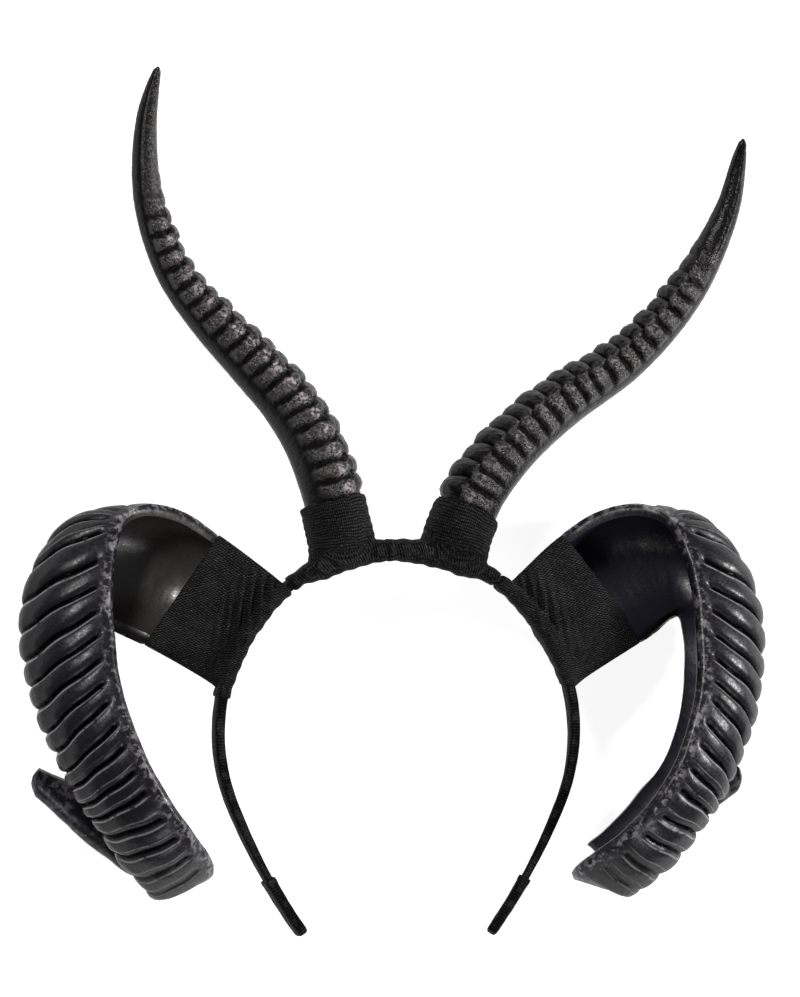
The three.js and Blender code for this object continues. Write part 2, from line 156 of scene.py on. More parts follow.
# Ram horns, drawn for the right: near edge x, y, z, far edge x, y, z, bulge, hollow, lag.
RAM_SECTIONS = np.array([
    [43.5, 49.5, 0, 66.0, 13.5, 0, 3.5, 1.0, 0],
    [50.0, 55.0, -2.0, 73.0, 18.5, -2.0, 8, 1.0, 0],
    [64.5, 66.5, -8.0, 91.5, 29.5, -5.0, 22, 1.0, 0],
    [79.0, 75.2, -7.0, 99.5, 33.5, -10.0, 23, 1.0, 2],
    [92.0, 77.8, -4.0, 105.0, 36.5, -15.0, 22, 1.0, 5],
    [100.5, 75.0, 0, 110.0, 38.5, -20.5, 21, 1.0, 8],
    [105.0, 68.0, 4.0, 113.0, 38.5, -25.0, 22, 1.0, 10],
    [108.5, 53.0, 10.5, 115.0, 34.5, -27.5, 25, 1.0, 13],
    [109.5, 37.5, 15.2, 115.8, 23.0, -26.0, 26, 1.0, 14],
    [108.4, 15.5, 22.3, 112.3, 4.0, -18.7, 24.5, 1.0, 12],
    [104.6, 0.7, 26.1, 107.0, -9.5, -13.5, 23, 0.95, 8],
    [99.0, -14.0, 28.4, 102.0, -18.0, -10.6, 22.5, 0.9, 3],
    [90.2, -28.7, 27.4, 96.0, -24.0, -9.2, 22.5, 0.8, -2],
    [81.0, -39.8, 21.5, 89.5, -32.5, -11.0, 23, 0.65, -2],
    [73.5, -47.5, 11.5, 82.0, -41.0, -15.0, 22, 0.5, 0],
    [68.5, -54.0, -2.0, 78.0, -45.0, -19.5, 21, 0.42, 0],
    [71.0, -57.0, -17.0, 81.0, -44.0, -25.0, 19, 0.36, 0],
    [82.0, -55.0, -29.0, 90.5, -38.5, -27.0, 18, 0.32, 0],
    [96.0, -45.5, -34.0, 103.5, -30.0, -24.0, 15.5, 0.28, 0],
    [113.0, -33.0, -31.0, 118.0, -22.5, -18.0, 11, 0.25, 0],
    [132.5, -20.0, -20.0, 133.5, -15.5, -11.0, 6, 0.2, 0],
])
RAM_ROOT = 1
RAM_WALL = 2.2
RAM_MESH = {"outside": 84, "inside": 30, "step": 0.42, "nudge": 0.02}
RAM_TIP = {"round": 3.0, "blunt": 0.2}
RAM_RIM = {"at": 2.2, "width": 1.8, "tip": 0.35}
RAM_RIBS = {"count": 24, "above": 1.5, "pitch": 9.4, "height": 2.1, "border": 4.0, "fade": 6}
# Share of painted highlight in each shell's lining: the left lining is painted lit.
RAM_LINING_HIGHLIGHT = {"left": 1.0, "right": 0.0}
RAM_GROOVE = {"power": 3.2, "run_out": 3.0, "rim_rise": 1.6}
RAM_WRAP = {"to": 2.1, "front": 1.6, "gathered": 2.6, "gather_to": 0.8}
RAM_WRAP_ROOM = {"from": 0.12, "past": 0.25}
RAM_WRAP_MESH = {"sides": 120, "steps": 90, "room_steps": 40, "strap_steps": 60}
RAM_WEAVE = (0.84, 0.54)
RAM_FOLDS = {"height": 1.9, "pitch": 3.6, "lean": 0.15, "at": 0.6, "spread": 0.55}
RAM_CUFFS = {"left": (45, 93), "right": (41, 88)}

# Camera: the headband is turned 13 degrees about its upright line; the picture is 800 pixels wide.
CAMERA = {"turn": -13, "distance": 5.0, "width": 294.4, "x": 1.3, "y": 82.2, "sensor": 36, "clip": 20}

# Lights: name, place, size (metres) and power (watts), aimed at one point; the floor glows white.
LIGHTS = [
    ("key", (-0.75, 0.8, 1.3), 0.24, 10),
    ("fill", (1.25, 0.15, 0.8), 0.26, 15),
    ("low", (0.15, -1.1, 0.9), 0.4, 2.5),
]
LIGHT_AIM = (0, 0, 0.02)
WORLD_GLOW = 0.09
FLOOR = {"size": 6, "gray": 0.6, "roughness": 0.9, "glow": 0.9}

# Colours of the horns, of the shells and of the gaps between threads, dark to light.
HORN_COLORS = {
    "pit": (0.0022, 0.002, 0.0024),
    "skin": (0.011, 0.010, 0.012),
    # Brown specks on the raised bars: scuffing, partly a painted sparkle highlight.
    "wear_and_highlight": (0.21, 0.178, 0.158),
    # Painted highlight colour for the bars near the seam.
    "painted_glint": (0.52, 0.46, 0.49),
}
SHELL_COLORS = {
    # Painted shade at the bottom of the grooves between the rolls.
    "groove": (0.0015, 0.0013, 0.0016),
    "dark": (0.005, 0.0045, 0.006),
    "light": (0.014, 0.012, 0.016),
    "cool_lining": (0.024, 0.024, 0.036),
    # Painted highlight: a lit, warmer copy of the lining, used on the left.
    "highlit_lining": (0.075, 0.066, 0.063),
    # Scuffs on the rim, and painted highlight lines along the rolls.
    "wear_and_highlight": (0.3, 0.28, 0.31),
}
THREAD_GAP = (0.0006, 0.0006, 0.0008)

# The drawing frame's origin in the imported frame, found from the band's own box.
band_low, band_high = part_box("band")
ORIGIN = np.array([
    (CAD_BOX[0][0] + CAD_BOX[1][0]) / 2,
    band_high[1] - (BAND["crown"] + BAND["thickness"] / 2) * MM,
    (band_low[2] + band_high[2]) / 2,
])


def placed(points):
    return np.asarray(points) * MM + ORIGIN


def smooth(value, low, high):
    t = np.clip((np.asarray(value, float) - low) / (high - low), 0, 1)
    return t * t * (3 - 2 * t)


# Bell curve: 1 at a mark, falling off over a width.
def bell(value, mark, width):
    return np.exp(-(((value - mark) / width) ** 2))


def unit(vectors):
    return vectors / np.linalg.norm(vectors, axis=-1, keepdims=True)


# A smooth value at any place along a table: place 2.5 lies halfway between rows 2 and 3.
def along(rows, places):
    places = np.asarray(places, float)
    last = len(rows) - 1
    start = np.clip(np.floor(places).astype(int), 0, last - 1)
    u = (places - start)[..., None]
    a, b, c, d = (rows[np.clip(start + k, 0, last)] for k in (-1, 0, 1, 2))
    return b + 0.5 * u * (c - a + u * (2 * a - 5 * b + 4 * c - d + u * (3 * (b - c) + d - a)))


# Places in a table, and the distance along its curve at each of them.
def paced(point_at, start, stop):
    places = np.linspace(start, stop, PACE_STEPS)
    points = point_at(places)
    steps = np.linalg.norm(np.diff(points, axis=0), axis=1)
    return places, np.concatenate([[0], np.cumsum(steps)])


# Smooth unevenness from -1 to 1 with lumps of the given size, one value a point.
def wobble(points, size, seed=0):
    flat = (points.reshape(-1, 3) / size + seed).tolist()
    return np.array([noise.noise(p) for p in flat]).reshape(points.shape[:-1])


# Sum of layers of unevenness, each with a height, lump size and seed.
def uneven(points, layers):
    return sum(height * wobble(points, size, seed) for height, size, seed in layers)


# One value a vertex, for the materials to read.
def write_field(mesh, key, values):
    layer = mesh.attributes.new(key, "FLOAT", "POINT")
    layer.data.foreach_set("value", np.asarray(values, np.float32).ravel())


# A mesh over a grid of points, closed round each row, with both ends filled.
def skin(name, rings, fields=None):
    n, m = rings.shape[:2]
    k = np.arange(n - 1)[:, None] * m
    i = np.arange(m)[None, :]
    j = (i + 1) % m
    quads = np.stack(np.broadcast_arrays(k + i, k + j, k + m + j, k + m + i), -1).reshape(-1, 4)
    points = placed(rings.reshape(-1, 3))
    a, b, c, d = (points[quads[:, side]] - points.mean(0) for side in range(4))
    inward = (a * np.cross(b, c)).sum() + (a * np.cross(c, d)).sum() < 0
    faces = quads[:, ::-1].tolist() if inward else quads.tolist()
    first, last = list(range(m)), list(range((n - 1) * m, n * m))
    faces += [first, last[::-1]] if inward else [first[::-1], last]
    mesh = bpy.data.meshes.new(name)
    mesh.from_pydata(points.tolist(), [], faces)
    for key, values in (fields or {}).items():
        write_field(mesh, key, np.broadcast_to(values, (n, m)))
    normals = np.zeros(n * m * 3)
    mesh.vertex_normals.foreach_get("vector", normals)
    write_field(mesh, "upward", normals[2::3])
    return mesh


# One visible piece, smooth shaded, that rides on the body and stands for its solid.
def piece(name, mesh, material, node):
    mesh.materials.clear()
    mesh.materials.append(material)
    mesh.polygons.foreach_set("use_smooth", [True] * len(mesh.polygons))
    mesh.set_sharp_from_angle(angle=math.radians(SHARP_ANGLE))
    obj = bpy.data.objects.new(name, mesh)
    bpy.context.scene.collection.objects.link(obj)
    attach(obj, "root")
    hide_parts(node)
    return obj


# Band line: signed distance from the crown, positive down the right leg.
def band_at(distance):
    distance = np.asarray(distance, float)
    side = np.where(distance < 0, -1.0, 1.0)
    rest = np.abs(distance)
    heading = np.zeros_like(rest)
    x = np.zeros_like(rest)
    y = np.full_like(rest, BAND["crown"])
    for radius, sweep in BAND_ARCS:
        turn = np.minimum(rest / radius, math.radians(sweep))
        x += radius * (np.sin(heading + turn) - np.sin(heading))
        y += radius * (np.cos(heading + turn) - np.cos(heading))
        heading += turn
        rest = rest - turn * radius
    x += rest * np.cos(heading)
    y -= rest * np.sin(heading)
    twist = np.radians(smooth(distance, BAND_TWIST["from"], BAND_TWIST["to"]) * BAND_TWIST["degrees"])
    zero = np.zeros_like(x)
    flat_out = np.stack([side * np.sin(heading), np.cos(heading), zero], -1)
    line = np.stack([side * np.cos(heading), -np.sin(heading), zero], -1)
    flat_front = np.broadcast_to([0.0, 0.0, 1.0], flat_out.shape)
    cos, sin = np.cos(twist)[..., None], np.sin(twist)[..., None]
    out = flat_out * cos + np.cross(line, flat_out) * sin
    front = flat_front * cos + np.cross(line, flat_front) * sin
    return np.stack([side * x, y, zero], -1), out, front


# Rounded strip sections along the band, grown out, in and to both edges.
def strip(distances, sides, outer=0.0, inner=0.0, edge=0.0, scale=1.0, corner=5.0):
    distances = np.asarray(distances, float)
    centre, out, front = band_at(distances)
    thinned = smooth(np.abs(distances), BAND_REACH - BAND["thin_over"], BAND_REACH)
    thick = BAND["thickness"] + (BAND["end_thickness"] - BAND["thickness"]) * thinned
    turns = 2 * np.pi * (np.arange(sides) + 0.5) / sides
    power = 2 / corner
    round_out = np.sign(np.cos(turns)) * np.abs(np.cos(turns)) ** power
    round_front = np.sign(np.sin(turns)) * np.abs(np.sin(turns)) ** power
    reach = np.where(np.cos(turns) > 0, outer, inner)[None, :] + thick[:, None] / 2
    scale = np.broadcast_to(scale, distances.shape)[:, None]
    across = (BAND["width"] / 2 + edge) * round_front[None, :] * scale
    lift = reach * round_out[None, :] * scale
    return centre[:, None] + out[:, None] * lift[..., None] + front[:, None] * across[..., None], turns


# Shader building: short helpers that add one node and hand back its socket.
class Paint:
    def __init__(self, name):
        self.material = bpy.data.materials.new(name)
        self.material.use_nodes = True
        self.tree = self.material.node_tree
        self.shader = self.tree.nodes["Principled BSDF"]

    def add(self, kind, **inputs):
        node = self.tree.nodes.new(kind)
        for key, value in inputs.items():
            self.put(node.inputs[key.replace("_", " ")], value)
        return node

    def put(self, socket, value):
        if isinstance(value, bpy.types.NodeSocket):
            self.tree.links.new(value, socket)
        else:
            socket.default_value = value

    def field(self, name):
        node = self.add("ShaderNodeAttribute")
        node.attribute_name = name
        return node.outputs["Fac"]

    def math(self, operation, *values):
        node = self.add("ShaderNodeMath")
        node.operation = operation
        for socket, value in zip(node.inputs, values):
            self.put(socket, value)
        return node.outputs["Value"]

    def times(self, product, *factors):
        for factor in factors:
            product = self.math("MULTIPLY", product, factor)
        return product

    def ramp(self, value, low, high, bottom=0.0, top=1.0):
        node = self.add("ShaderNodeMapRange", From_Min=low, From_Max=high, To_Min=bottom, To_Max=top)
        node.interpolation_type = "SMOOTHSTEP"
        self.put(node.inputs["Value"], value)
        return node.outputs["Result"]

    # Noise whose features are about `size` millimetres across.
    def cloud(self, size, detail=3.0, rough=0.6):
        where = self.add("ShaderNodeTexCoord").outputs["Object"]
        node = self.add("ShaderNodeTexNoise", Vector=where, Scale=1 / (size * MM))
        self.put(node.inputs["Detail"], detail)
        self.put(node.inputs["Roughness"], rough)
        return node.outputs["Fac"]

    def pits(self, size):
        where = self.add("ShaderNodeTexCoord").outputs["Object"]
        node = self.add("ShaderNodeTexVoronoi", Vector=where, Scale=1 / (size * MM))
        return node.outputs["Distance"]

    def blend(self, share, first, second):
        node = self.add("ShaderNodeMix")
        node.data_type = "RGBA"
        self.put(node.inputs[0], share)
        self.put(node.inputs[6], (*first, 1) if isinstance(first, tuple) else first)
        self.put(node.inputs[7], (*second, 1) if isinstance(second, tuple) else second)
        return node.outputs[2]

    def bump(self, height, depth, strength=1.0, normal=None):
        node = self.add("ShaderNodeBump", Height=height, Distance=depth * MM, Strength=strength)
        if normal is not None:
            self.put(node.inputs["Normal"], normal)
        return node.outputs["Normal"]

    def set(self, **inputs):
        for key, value in inputs.items():
            self.put(self.shader.inputs[key.replace("_", " ")], value)
        return self.material


# Share that peaks in a thin line where a phase passes a mark.
def line_at(paint, phase, mark, width):
    away = paint.math("ABSOLUTE", paint.math("SUBTRACT", phase, mark))
    return paint.ramp(away, 0.0, width, 1.0, 0.0)


# Tall horns: rough cast black, shining on the raised faces, with brown specks that are scuffing and partly a
# painted sparkle highlight, and a painted highlight near the seam side of the bars.
def horn_paint():
    paint = Paint("rough_cast_horn")
    grain = paint.cloud(0.8, 5.0, 0.7)
    speck = paint.ramp(paint.cloud(0.75, 3.0, 0.65), 0.5, 0.63)
    patch = paint.ramp(paint.cloud(4.0, 4.0), 0.35, 0.65, 0.2, 1.0)
    crest = paint.field("crest")
    wear_and_highlight_share = paint.field("wear_and_highlight")
    raised = paint.times(wear_and_highlight_share, paint.ramp(crest, 0.25, 0.85))
    rubbed = paint.times(paint.field("seam"), paint.ramp(grain, 0.4, 0.7))
    # Brown specks on the raised faces: scuffing, partly a painted sparkle highlight; rubbed marks along the
    # seam edge.
    wear_and_highlight = paint.math("MAXIMUM", paint.times(speck, patch, raised), rubbed)
    # Painted highlight: lilac patches in a band past the seam.
    painted_glint = paint.times(paint.field("painted_glint"), paint.ramp(paint.cloud(1.7, 3.0, 0.6), 0.46, 0.62))
    base = paint.blend(grain, HORN_COLORS["pit"], HORN_COLORS["skin"])
    brown = paint.blend(wear_and_highlight, base, HORN_COLORS["wear_and_highlight"])
    color = paint.blend(painted_glint, brown, HORN_COLORS["painted_glint"])
    rough = paint.ramp(grain, 0.3, 0.75, 0.16, 0.36)
    upper = paint.ramp(paint.field("upward"), 0.0, 0.8, 0.15, 1.0)
    used = paint.ramp(wear_and_highlight_share, 0.0, 1.0, 0.45, 1.0)
    shine = paint.times(paint.ramp(crest, 0.1, 0.85, 0.06, 0.55), upper, used)
    pits = paint.ramp(paint.pits(1.3), 0.05, 0.45)
    pitted = paint.bump(pits, 0.22, paint.ramp(wear_and_highlight_share, 0.0, 1.0, 0.15, 0.6))
    normal = paint.bump(grain, 0.4, paint.ramp(wear_and_highlight_share, 0.0, 1.0, 0.25, 0.8), pitted)
    return paint.set(Base_Color=color, Roughness=rough, Normal=normal, Specular_IOR_Level=shine)


# Ram shells: satin purplish black, with painted highlight lines along the roll edges, painted shade in the
# grooves, scuffs on the rim and a painted highlight in the left lining.
def shell_paint():
    paint = Paint("satin_shell")
    phase = paint.field("phase")
    groove = paint.ramp(paint.field("groove"), 0.25, 0.8)
    grain = paint.cloud(1.1, 4.0)
    streak = paint.ramp(paint.cloud(3.0, 3.0), 0.3, 0.5)
    inside = paint.field("inside")
    # Painted highlight: thin light lines along the roll edges, with finer ones near the foot and the fold,
    # broken up by streaks.
    crest = line_at(paint, paint.math("FRACT", phase), 0.19, 0.055)
    fine = line_at(paint, paint.math("FRACT", paint.times(phase, 2.0)), 0.4, 0.08)
    near_foot = paint.ramp(phase, 5.0, 7.0, 0.7, 0.0)
    near_fold = paint.ramp(phase, 14.0, 16.0, 0.0, 0.7)
    fine = paint.times(fine, paint.math("MAXIMUM", near_foot, near_fold))
    crest = paint.times(paint.math("MAXIMUM", crest, fine), streak, paint.field("ribbed"))
    scuff = paint.times(paint.field("rim"), paint.ramp(paint.cloud(3.0, 4.0, 0.7), 0.48, 0.62))
    # Scuffs on the rim and the painted highlight lines share one light colour.
    wear_and_highlight = paint.math("MAXIMUM", crest, scuff)
    # Painted highlight in the lining: a lighter, warmer lining colour and extra shine, on the left only.
    lining_highlight = paint.field("lining_highlight")
    base = paint.blend(paint.cloud(14.0, 3.0), SHELL_COLORS["dark"], SHELL_COLORS["light"])
    # Painted shade: the groove bottoms are darkened.
    groove_shaded = paint.blend(groove, base, SHELL_COLORS["groove"])
    lining = paint.blend(lining_highlight, SHELL_COLORS["cool_lining"], SHELL_COLORS["highlit_lining"])
    lined = paint.blend(inside, groove_shaded, lining)
    color = paint.blend(wear_and_highlight, lined, SHELL_COLORS["wear_and_highlight"])
    rough = paint.ramp(grain, 0.3, 0.7, 0.26, 0.44)
    upper = paint.ramp(paint.field("upward"), 0.3, 0.9, 0.15, 1.0)
    outer_shine = paint.times(paint.ramp(groove, 0.0, 1.0, 0.52, 0.08), upper)
    shine = paint.math("ADD", outer_shine, paint.times(inside, lining_highlight, 0.8))
    normal = paint.bump(grain, 0.16, 0.45)
    return paint.set(Base_Color=color, Roughness=rough, Normal=normal, Specular_IOR_Level=shine)


# Cloth: black thread with a fine, uneven weave; `slant` turns the ribs of the weave into twill.
def cloth_paint(name, pitch, slant, cross, tone):
    paint = Paint(name)
    drift = paint.times(paint.cloud(6.0, 2.0), 2.4)
    u = paint.math("ADD", paint.field("weave_u"), drift)
    v = paint.field("weave_v")
    leaning = paint.math("ADD", u, paint.times(v, slant))
    ribs = paint.math("SINE", paint.times(leaning, 2 * math.pi / pitch))
    stitches = paint.math("SINE", paint.times(v, 2 * math.pi / cross))
    weave = paint.ramp(paint.math("ADD", ribs, paint.times(stitches, 0.7)), -1.2, 1.5)
    fuzz = paint.cloud(0.7, 4.0, 0.7)
    # Light specks on the threads: lint, partly a painted highlight on the thread tops.
    lint_and_highlight = paint.times(paint.ramp(fuzz, 0.48, 0.7), weave)
    faded = paint.ramp(paint.cloud(11.0, 3.0), 0.42, 0.62, 0.0, 0.7)
    thread = paint.blend(weave, THREAD_GAP, (tone, tone, tone * 1.06))
    dusty = paint.blend(paint.times(faded, weave), thread, (tone * 2.2, tone * 2.2, tone * 2.35))
    color = paint.blend(lint_and_highlight, dusty, (tone * 6, tone * 5.8, tone * 6.3))
    woven = paint.bump(weave, 0.4, 1.0)
    normal = paint.bump(fuzz, 0.3, 0.5, woven)
    paint.set(Sheen_Weight=0.02, Specular_IOR_Level=0.1)
    return paint.set(Base_Color=color, Roughness=0.8, Normal=normal)


# Frames along a tall horn: centre, ringed inner side, front and radius at each distance.
def tall_frames(rows, side, distances):
    places, marks = paced(lambda p: along(rows, p)[:, :3], 0, len(rows) - 1)
    at = np.interp(distances, marks, places)
    row = along(rows, at)
    nudge = TALL_MESH["nudge"]
    line = unit(along(rows, at + nudge)[:, :3] - along(rows, at - nudge)[:, :3])
    rib = unit(np.stack([-side * line[:, 1], side * line[:, 0], np.zeros(len(at))], -1))
    front = side * np.cross(line, rib)
    return row[:, :3], rib, front, row[:, 3], marks[-1]


# Height of the rings: round beads on the inner edge, flat bars on the front, none on the outer strip.
def tall_rings(distance, degrees, first, seam):
    off = np.abs(degrees)
    bars = smooth(degrees, seam - TALL_SEAM["blend"], seam + TALL_SEAM["blend"])
    phase = (distance - first) / TALL_RIBS["pitch"] + TALL_SEAM["shift"] * bars
    phase = phase + RING_DRIFT * np.sin(distance * 0.23) + RING_WAVER * np.sin(off * 0.09 + distance * 0.5)
    part = np.abs(2 * (phase - np.floor(phase)) - 1)
    bead = np.sqrt(np.clip(1 - part**2, 0, 1))
    bar = 1 - smooth(part, TALL_BAR["flat"], TALL_BAR["foot"])
    height = TALL_RIBS["bead"] * bead * (1 - bars) + TALL_RIBS["bar"] * bar * bars
    count, fade = TALL_RIBS["count"], TALL_RIBS["fade"]
    shown = smooth(phase, -0.3, 0.4) * (1 - smooth(phase, count - fade, count + 1.0))
    share = (1 - smooth(off, TALL_STRIP["from"], TALL_STRIP["rings_end"])) * shown
    varied = 0.88 + 0.16 * np.sin(np.floor(phase) * 2.4)
    crest = share * (bead * (1 - bars) + bar * bars) + 0.7 * (1 - share)
    return height * share * varied, share, crest, bars


def tall_horn(key, material):
    name, rows, side = f"upper_horn_{key}_surface", TALL_ROWS[key], SIDES[key]
    seam, wear_and_glint, sides = TALL_SEAM[key], TALL_WEAR_AND_GLINT[key], TALL_MESH["sides"]
    length = tall_frames(rows, side, [0.0])[4]
    steps = int((length - TALL_START) / TALL_MESH["step"])
    distances = np.linspace(TALL_START, length - TALL_TIP["blunt"], steps)
    centre, rib, front, radius, _ = tall_frames(rows, side, distances)
    degrees = -180 + 360 * (np.arange(sides) + 0.5) / sides
    s, angle = distances[:, None], degrees[None, :]
    lift, share, crest, bars = tall_rings(s, angle, TALL_WRAPS[key]["reach"] + TALL_RIBS["above"], seam)
    near_tip = smooth(s, length - TALL_TIP["from"], length - TALL_TIP["to"])
    outer = smooth(np.abs(angle), TALL_STRIP["from"], TALL_STRIP["to"])
    edge = bell(angle, TALL_STRIP["edge"], TALL_STRIP["edge_width"]) * near_tip
    begun = smooth(s, TALL_RIDGE["from"], TALL_RIDGE["to"])
    ridge = bell(angle, seam, TALL_RIDGE["width"]) * begun * (1 - near_tip) + edge
    tip = np.sqrt(np.clip((length - s) / TALL_TIP["round"], 0, 1))
    reach = (radius[:, None] + lift + TALL_RIDGE["height"] * ridge) * tip
    turn = np.radians(angle)
    across = rib[:, None] * (reach * np.cos(turn))[..., None]
    across = across + front[:, None] * (reach * np.sin(turn))[..., None]
    rings = centre[:, None] + across
    rough = uneven(rings, TALL_ROUGH) * (0.35 + 0.65 * share) / np.maximum(reach, 0.8)
    rings = centre[:, None] + across * (1 + rough)[..., None]
    # Shares for the paint: brown specks (scuffing, partly a painted sparkle highlight) and a band of painted
    # highlight past the seam.
    inner = bars * (1 - near_tip) + wear_and_glint["tip"] * near_tip
    lit = bell(angle, seam + TALL_PAINTED_GLINT["past_seam"], TALL_PAINTED_GLINT["width"])
    fields = {
        "crest": crest,
        "wear_and_highlight": inner * (1 - outer) + wear_and_glint["strip"] * outer,
        "painted_glint": wear_and_glint["painted_glint"] * share * crest * lit,
        "seam": edge,
    }
    return piece(name, skin(name, rings, fields), material, f"upper_horn_{key}")


# Middle of a ram section, half its opening towards the near edge, its back direction and its table values.
def ram_frames(places):
    at = along(RAM_SECTIONS, places)
    middle = (at[..., 0:3] + at[..., 3:6]) / 2
    half = (at[..., 0:3] - at[..., 3:6]) / 2

    def middle_at(where):
        row = along(RAM_SECTIONS, where)
        return (row[..., 0:3] + row[..., 3:6]) / 2

    line = unit(middle_at(places + RAM_MESH["nudge"]) - middle_at(places - RAM_MESH["nudge"]))
    back = unit(np.cross(half, line))
    return middle, half, back, at[..., 6], at[..., 7], at[..., 8]


# Points on a ram section: angle 0 is its near edge, half a turn its far edge, and the back lies between.
def ram_points(frames, angles, widen, deepen):
    middle, half, back = frames[:3]
    width = np.linalg.norm(half, axis=-1)
    along_half = (1 + widen / width) * np.cos(angles)
    return middle + half * along_half[..., None] + back * (deepen * np.sin(angles))[..., None]


# Places along the ram table, paced by distance along the horn's back.
def ram_pace():
    def back_at(places):
        frames = ram_frames(places)
        return ram_points(frames, np.full(len(places), np.pi / 2), 0.0, frames[3] * 0.8)

    return paced(back_at, RAM_ROOT, len(RAM_SECTIONS) - 1)


# Rounded rolls with narrow grooves that stop short of the plain rim.
def ram_rolls(phase, from_edge):
    part = np.abs(2 * (phase - np.floor(phase)) - 1)
    groove = part ** RAM_GROOVE["power"]
    count, fade = RAM_RIBS["count"], RAM_RIBS["fade"]
    shown = smooth(phase, -0.4, 0.5) * (1 - 0.85 * smooth(phase, count - fade, count - 1))
    shown = shown * (1 - smooth(phase, count - 0.5, count + 0.5))
    inner = smooth(from_edge, RAM_RIBS["border"], RAM_RIBS["border"] + RAM_GROOVE["run_out"])
    level = RAM_RIBS["height"] * smooth(from_edge, 0, RAM_GROOVE["rim_rise"])
    ribbed = inner * shown
    return level * (1 - groove * ribbed) * smooth(phase, -0.6, 0.2), ribbed, groove * ribbed


def ram_horn(key, material):
    name, side = f"ram_horn_{key}_surface", SIDES[key]
    places, marks = ram_pace()
    length = marks[-1]
    distances = np.linspace(0, length, int(length / RAM_MESH["step"]))
    first = np.interp(RAM_WRAP["to"], places, marks) + RAM_RIBS["above"]
    lag = ram_frames(np.interp(distances, marks, places))[5]

    def lagged(angles):
        shifted = distances[:, None] + lag[:, None] * np.sin(angles)[None, :]
        return ram_frames(np.interp(shifted, marks, places))

    outside = np.linspace(0, np.pi, RAM_MESH["outside"])
    frames = lagged(outside)
    width = np.linalg.norm(frames[1], axis=-1)
    arc = np.abs(np.sin(outside))[None, :] * frames[3] * 0.9
    from_edge = np.hypot(width * (1 - np.abs(np.cos(outside))[None, :]), arc)
    phase = (distances[:, None] - first) / RAM_RIBS["pitch"]
    drift = RING_DRIFT * np.sin(distances[:, None] * 0.31)
    phase = phase + drift + RING_WAVER * np.sin(outside[None, :] * 9)
    lift, ribbed, groove = ram_rolls(phase, from_edge)
    back = ram_points(frames, outside[None, :] + 0 * width, lift, frames[3] + lift)
    inside = np.linspace(np.pi, 0, RAM_MESH["inside"])
    frames = lagged(inside)
    wall = np.minimum(RAM_WALL, np.linalg.norm(frames[1], axis=-1) * 0.4)
    hollow = ram_points(frames, inside[None, :] + 0 * wall, -wall, (frames[3] - wall) * frames[4])
    rings = np.concatenate([back, hollow], axis=1)
    middle = rings.mean(axis=1, keepdims=True)
    rings = rings + unit(rings - middle) * uneven(rings, RAM_ROUGH)[..., None]
    to_end = length + RAM_TIP["blunt"] - distances
    blunt = np.sqrt(np.clip(to_end / RAM_TIP["round"], 0, 1))[:, None, None]
    rings = (middle + (rings - middle) * blunt) * [side, 1, 1]
    none = np.zeros((len(distances), len(inside)))
    tip = smooth(phase, RAM_RIBS["count"] - 1, RAM_RIBS["count"] + 3)
    front = outside < np.pi / 2
    rim = bell(from_edge, RAM_RIM["at"], RAM_RIM["width"]) * front[None, :] + RAM_RIM["tip"] * tip
    fields = {
        "phase": np.concatenate([phase, none], axis=1),
        "ribbed": np.concatenate([ribbed, none], axis=1),
        # Groove bottoms, darkened by painted shade and given less shine in the shell paint.
        "groove": np.concatenate([groove, none], axis=1),
        "rim": np.concatenate([rim, none], axis=1),
        "inside": np.concatenate([0 * phase, none + 1], axis=1),
        # Share of the painted highlight in this lining.
        "lining_highlight": RAM_LINING_HIGHLIGHT[key],
    }
    return piece(name, skin(name, rings, fields), material, f"ram_horn_{key}")


# Corners that a cut leaves in one place are merged; faces folded flat onto each other and loose flaps go.
def cleaned(mesh):
    work = bmesh.new()
    work.from_mesh(mesh)
    bmesh.ops.triangulate(work, faces=work.faces[:])
    bmesh.ops.remove_doubles(work, verts=work.verts[:], dist=FUSE["merge"] * MM)
    same = {}
    for face in work.faces:
        same.setdefault(frozenset(face.verts), []).append(face)
    folded = [face for faces in same.values() if len(faces) > 1 for face in faces]
    bmesh.ops.delete(work, geom=folded, context="FACES")
    flaps = {face for edge in work.edges if edge.is_boundary for face in edge.link_faces}
    bmesh.ops.delete(work, geom=list(flaps), context="FACES")
    work.to_mesh(mesh)
    work.free()
    return mesh


# Cloth made of several closed forms: fused, softened, then hollowed for what it is wound round.
def fused(name, forms, rooms):
    made = []
    for group in (forms, rooms):
        holder = bpy.data.objects.new(name, skin(name, group[0]))
        bpy.context.scene.collection.objects.link(holder)
        for rings in group[1:]:
            extra = bpy.data.objects.new(name, skin(name, rings))
            bpy.context.scene.collection.objects.link(extra)
            both = [holder, extra]
            with bpy.context.temp_override(active_object=holder, selected_editable_objects=both):
                bpy.ops.object.join()
        remesh = holder.modifiers.new("fuse", "REMESH")
        remesh.mode = "VOXEL"
        remesh.voxel_size = FUSE["voxel"] * MM
        made.append(holder)
    body, room = made
    soften = body.modifiers.new("soften", "SMOOTH")
    soften.factor = FUSE["soften"]
    soften.iterations = FUSE["passes"]
    cut = body.modifiers.new("hollow", "BOOLEAN")
    cut.operation = "DIFFERENCE"
    cut.solver = "EXACT"
    cut.object = room
    mesh = bpy.data.meshes.new_from_object(body.evaluated_get(bpy.context.evaluated_depsgraph_get()))
    mesh.name = name
    for obj in (body, room):
        bpy.data.objects.remove(obj)
    return cleaned(mesh)


# A mesh's points in the drawing frame.
def drawn_points(mesh):
    points = np.zeros(len(mesh.vertices) * 3)
    mesh.vertices.foreach_get("co", points)
    return (points.reshape(-1, 3) - ORIGIN) / MM


